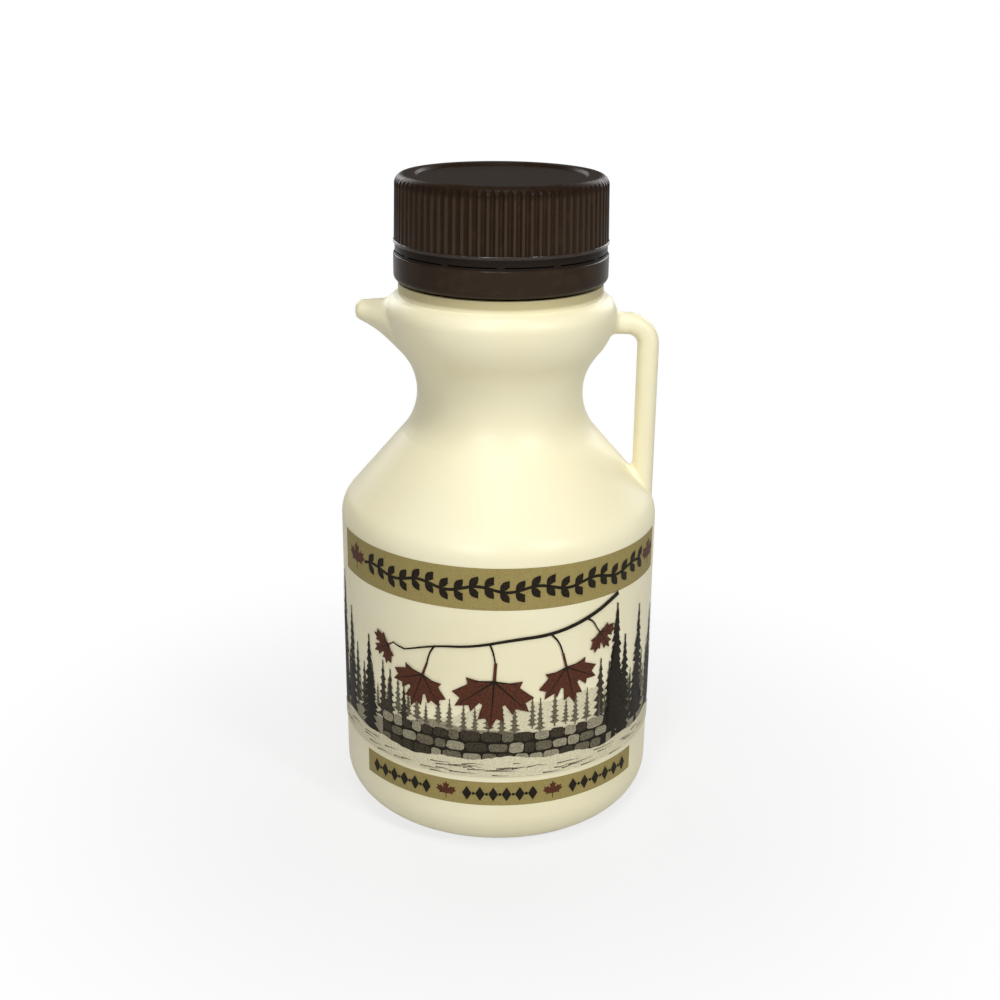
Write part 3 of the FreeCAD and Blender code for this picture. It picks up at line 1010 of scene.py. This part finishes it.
@dataclass
class Print:
    """The screen print round the barrel: two tan bands and a winter hillside between them.

    A panel and a span are given by their turns round the barrel, in degrees; levels and the
    branch are in millimetres.
    """

    lift: float = 0.03
    layer: float = 0.014
    seed: int = 11
    upper_band: Panel = (-70.0, 52.8, 74.5, 61.3)
    lower_band: Panel = (-54.2, 10.95, 58.7, 16.1)
    upper_leaves: LeafPair = LeafPair((-59.8, 68.0), 56.8, 3.5)
    lower_leaves: LeafPair = LeafPair((-17.8, 20.6), 13.2, 2.3)
    garland: Garland = Garland()
    garland_turns: Span = (-54.0, 61.0)
    lozenges: tuple[LozengeRow, ...] = (
        LozengeRow((-51.0, -23.0)), LozengeRow((-12.5, 15.5)), LozengeRow((26.0, 55.5)),
    )
    picture_turns: Span = (-92.0, 92.0)
    far_hill: Ridge = Ridge(31.5, ((2.6, 62.0, 0.4), (0.9, 23.0, 1.7)), 18.0)
    near_hill: Ridge = Ridge(26.5, ((1.8, 48.0, 2.6), (0.6, 17.0, 0.3)), 18.0)
    snow: Ridge = Ridge(21.2, ((0.5, 40.0, 1.0), (0.3, 13.0, 0.5)), 17.4)
    snow_marks: SnowMarks = SnowMarks()
    tree_rows: tuple[TreeRow, ...] = (
        TreeRow("print_far_spruces", InkColour.MIDDLE, 40, (5.0, 8.5), 27.0),
        TreeRow("print_middle_spruces", InkColour.DARK, 34, (11.0, 17.0), 23.5, clear=19.0),
        TreeRow("print_near_spruces", InkColour.BLACK, 18, (22.0, 31.5), 20.0, clear=26.0),
    )
    wall: StoneWall = StoneWall()
    branch: tuple[Spot, ...] = (
        (26.0, 52.6), (19.0, 49.6), (11.0, 47.4), (3.0, 46.9), (-5.0, 45.2), (-12.0, 44.6), (-19.0, 42.2),
    )
    branch_widths: Span = (1.0, 0.25)
    hanging: tuple[HangingLeaf, ...] = (
        HangingLeaf((-0.6, 36.4), 8.6, 176.0, (-1.5, 46.2)),
        HangingLeaf((-15.2, 36.6), 6.6, 160.0, (-12.0, 44.6)),
        HangingLeaf((14.0, 38.6), 6.9, 194.0, (10.5, 47.3)),
        HangingLeaf((-23.6, 41.6), 4.0, 122.0, (-18.9, 42.3)),
        HangingLeaf((21.6, 45.0), 4.0, 214.0, (18.0, 49.3)),
    )
    films: dict[str, Film] = field(default_factory=dict)
    radius: float = field(init=False)
    chance: random.Random = field(init=False)

    def __post_init__(self) -> None:
        """Takes the barrel's radius from the jug and readies the random numbers."""
        self.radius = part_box("jug")[1].y / MM
        self.chance = random.Random(self.seed)

    def film(self, name: str, ink: InkColour) -> Film:
        """Starts a film over all the ones before it.

        Args:
            name: The piece's name.
            ink: Its ink.

        Returns:
            The film.
        """
        lift = self.lift + self.layer * len(self.films)
        self.films[name] = Film(name, ink, self.radius, lift)
        return self.films[name]

    def arc(self, degrees: float) -> float:
        """How far round the barrel a turn goes, in millimetres."""
        return math.radians(degrees) * self.radius

    def span(self, turns: Span) -> Span:
        """The two ends of a span, in millimetres."""
        return self.arc(turns[0]), self.arc(turns[1])

    def panel(self, panel: Panel) -> Outline:
        """A panel's rectangle, from its turns and levels."""
        return rectangle(self.arc(panel[0]), panel[1], self.arc(panel[2]), panel[3])

    def draw_bands(self) -> None:
        """Draws the two tan bands with their leaves and dark ornament."""
        tan = self.film("print_bands", InkColour.TAN)
        tan.draw(self.panel(self.upper_band), self.panel(self.lower_band))
        rust = self.film("print_band_leaves", InkColour.RUST)
        for pair in (self.upper_leaves, self.lower_leaves):
            for across in self.span(pair.turns):
                rust.draw(placed(MapleLeaf().outline(), (across, pair.level), pair.size))
        dark = self.film("print_band_ornament", InkColour.BLACK)
        dark.draw(*self.garland.outlines(*self.span(self.garland_turns)))
        for row in self.lozenges:
            dark.draw(*row.outlines(*self.span(row.turns)))

    def draw_hill(self, name: str, ink: InkColour, hill: Ridge) -> None:
        """Draws a hill or the snow on a film of its own.

        Args:
            name: The piece's name.
            ink: Its ink.
            hill: Its shape.
        """
        self.film(name, ink).draw(hill.outline(*self.span(self.picture_turns), self.chance))

    def draw_hills(self) -> None:
        """Draws the two hills behind the trees."""
        self.draw_hill("print_far_hill", InkColour.PALE, self.far_hill)
        self.draw_hill("print_near_hill", InkColour.LIGHT, self.near_hill)

    def draw_trees(self) -> None:
        """Draws the far, middle and near spruces, the nearer ones only at the sides."""
        for row in self.tree_rows:
            self.film(row.film, row.ink).draw(*row.outlines(self.chance))

    def draw_wall(self) -> None:
        """Draws the dry-stone wall that crosses the front of the field."""
        self.film("print_wall_joints", InkColour.BLACK).draw(self.wall.joints())
        tones = {
            "print_wall_dark_stones": InkColour.DARK,
            "print_wall_middle_stones": InkColour.MIDDLE,
            "print_wall_light_stones": InkColour.LIGHT,
        }
        films = [self.film(name, ink) for name, ink in tones.items()]
        for stone in self.wall.stones(self.chance):
            self.chance.choice(films).draw(stone)

    def draw_ground(self) -> None:
        """Draws the snow in front of the wall and the marks on it."""
        self.draw_hill("print_snow", InkColour.PALE, self.snow)
        self.film("print_snow_marks", InkColour.MIDDLE).draw(*self.snow_marks.outlines(self.chance))

    def draw_branch(self) -> None:
        """Draws the maple branch that hangs into the middle of the picture."""
        wood = self.film("print_branch", InkColour.BLACK)
        wood.draw(stroke(eased(self.branch), *self.branch_widths))
        leaves = self.film("print_leaves", InkColour.RUST)
        veins = self.film("print_leaf_veins", InkColour.BLACK)
        for leaf in self.hanging:
            leaves.draw(leaf.blade())
            veins.draw(*leaf.veins())
            wood.draw(leaf.stalk())

    def build(self) -> list[bpy.types.Object]:
        """Draws the whole print and makes its films."""
        self.draw_bands()
        self.draw_hills()
        self.draw_trees()
        self.draw_wall()
        self.draw_ground()
        self.draw_branch()
        inks = {ink: PrintInk(ink).make() for ink in InkColour}
        return [film.build(inks[film.ink]) for film in self.films.values()]


# --------------------------------------------------------------------------------------------
# Studio
# --------------------------------------------------------------------------------------------


@dataclass(frozen=True)
class Softbox:
    """A square studio lamp; turn and rise are in degrees, distance and size in metres."""

    name: str
    turn: float
    rise: float
    distance: float
    size: float
    watts: float

    def build(self, aim: Vector) -> bpy.types.Object:
        """Makes the lamp.

        Args:
            aim: What it faces.

        Returns:
            The lamp.
        """
        turn, rise = math.radians(self.turn), math.radians(self.rise)
        away = Vector((math.sin(turn) * math.cos(rise), -math.cos(turn) * math.cos(rise), math.sin(rise)))
        light = bpy.data.lights.new(self.name, "AREA")
        light.size = self.size
        light.energy = self.watts
        lamp = bpy.data.objects.new(self.name, light)
        lamp.location = aim + away * self.distance
        lamp.rotation_mode = "QUATERNION"
        lamp.rotation_quaternion = away.to_track_quat("Z", "Y")
        bpy.context.scene.collection.objects.link(lamp)
        return lamp


@dataclass
class Studio:
    """Floor, backdrop, lamps and camera."""

    lamps: tuple[Softbox, ...] = (
        Softbox("top_softbox", 0.0, 70.0, 0.8, 0.3, 2.6),
        Softbox("left_softbox", -16.0, 32.0, 0.8, 0.12, 2.4),
        Softbox("right_softbox", 42.0, 35.0, 0.8, 0.12, 2.4),
        Softbox("back_left_softbox", 210.0, 20.0, 0.8, 0.4, 2.0),
        Softbox("back_right_softbox", 150.0, 20.0, 0.8, 0.4, 2.0),
    )
    aim_height: float = 0.065
    ambient: float = 0.05
    floor_size: float = 3.0
    floor_colour: Colour = (0.62, 0.62, 0.62, 1.0)
    shadow_share: float = 0.74
    shadow_fade: Span = (36.0, 130.0)
    gloss_share: float = 0.08
    camera_place: tuple[float, float, float] = (0.00027, -0.2798, 0.1644)
    camera_pitch: float = 19.87
    camera_roll: float = 0.59
    camera_lens: float = 52.19
    camera_clip: float = 0.01

    def build(self) -> None:
        """Sets up the whole studio."""
        bpy.context.scene.view_settings.view_transform = "Standard"
        self.build_world()
        self.build_floor()
        self.build_camera()
        for lamp in self.lamps:
            lamp.build(Vector((0, 0, self.aim_height)))

    def shown(self, nodes: Nodes) -> Signal:
        """How much of the white background a ray finds: all of it, a gloss's share, or none.

        Args:
            nodes: The tree of the floor or the world.

        Returns:
            1 for the eye and clear pieces, the gloss's share for glosses, and 0 for plain light.
        """
        ways = ("Is Camera Ray", "Is Transmission Ray", "Is Glossy Ray")
        eye, clear, gloss = (nodes.add("LightPath", out=way) for way in ways)
        seen = eye.math("MAXIMUM", eye, clear)
        return seen.math("MAXIMUM", seen, gloss * self.gloss_share)

    def build_world(self) -> None:
        """Makes the surroundings dim for the jug and white for the eye."""
        world = bpy.data.worlds.new("surroundings")
        world.use_nodes = True
        bpy.context.scene.world = world
        nodes = Nodes(world.node_tree)
        strength = self.ambient + self.shown(nodes) * (1.0 - self.ambient)
        light = nodes.add("Background", None, {"Color": WHITE, "Strength": strength})
        nodes.add("OutputWorld", None, {"Surface": light})

    def build_floor(self) -> None:
        """Makes the pale floor."""
        half = self.floor_size / 2
        mesh = bpy.data.meshes.new("floor")
        corners = [(x, y, 0) for x, y in rectangle(-half, -half, half, half)]
        mesh.from_pydata(corners, [], [(0, 1, 2, 3)])
        material, nodes = new_material("floor_paper")
        matte = nodes.add("BsdfDiffuse", None, {"Color": self.floor_colour})
        white = nodes.add("Emission", None, {"Color": WHITE, "Strength": 1.0})
        reach = nodes.add("VectorMath", {"operation": "LENGTH"}, {0: nodes.spots()}, "Value")
        clear = self.shadow_share + (1.0 - self.shadow_share) * reach.ramp(*self.shadow_fade)
        mix = nodes.add("MixShader", None, {0: self.shown(nodes) * clear, 1: matte, 2: white})
        nodes.add("OutputMaterial", None, {"Surface": mix})
        mesh.materials.append(material)
        floor = bpy.data.objects.new("floor", mesh)
        bpy.context.scene.collection.objects.link(floor)
        floor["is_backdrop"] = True

    def build_camera(self) -> None:
        """Makes the camera."""
        data = bpy.data.cameras.new("camera")
        data.lens = self.camera_lens
        data.clip_start = self.camera_clip
        camera = bpy.data.objects.new("camera", data)
        tilt = Matrix.Rotation(math.radians(90 - self.camera_pitch), 4, "X")
        roll = Matrix.Rotation(math.radians(self.camera_roll), 4, "Z")
        camera.matrix_world = Matrix.Translation(self.camera_place) @ tilt @ roll
        bpy.context.scene.collection.objects.link(camera)
        bpy.context.scene.camera = camera


def write_sizes() -> None:
    """Gathers the CAD box and the finished model's box, but nothing keeps them.
    """
    boxes = {"cad": CAD_BOX, "visual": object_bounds()}
    {name: [list(corner) for corner in box] for name, box in boxes.items()}


def main() -> None:
    """Builds the jug, its cap, the print and the studio in order."""
    logging.basicConfig(level=logging.INFO, format="%(name)s: %(message)s")
    for assembly in (Jug(), Cap(), Print()):
        for piece in assembly.build():
            LOG.info("%s: %s, %d faces", type(assembly).__name__, piece.name, len(piece.data.polygons))
    Studio().build()
    write_sizes()


if __name__ == "__main__":
    main()
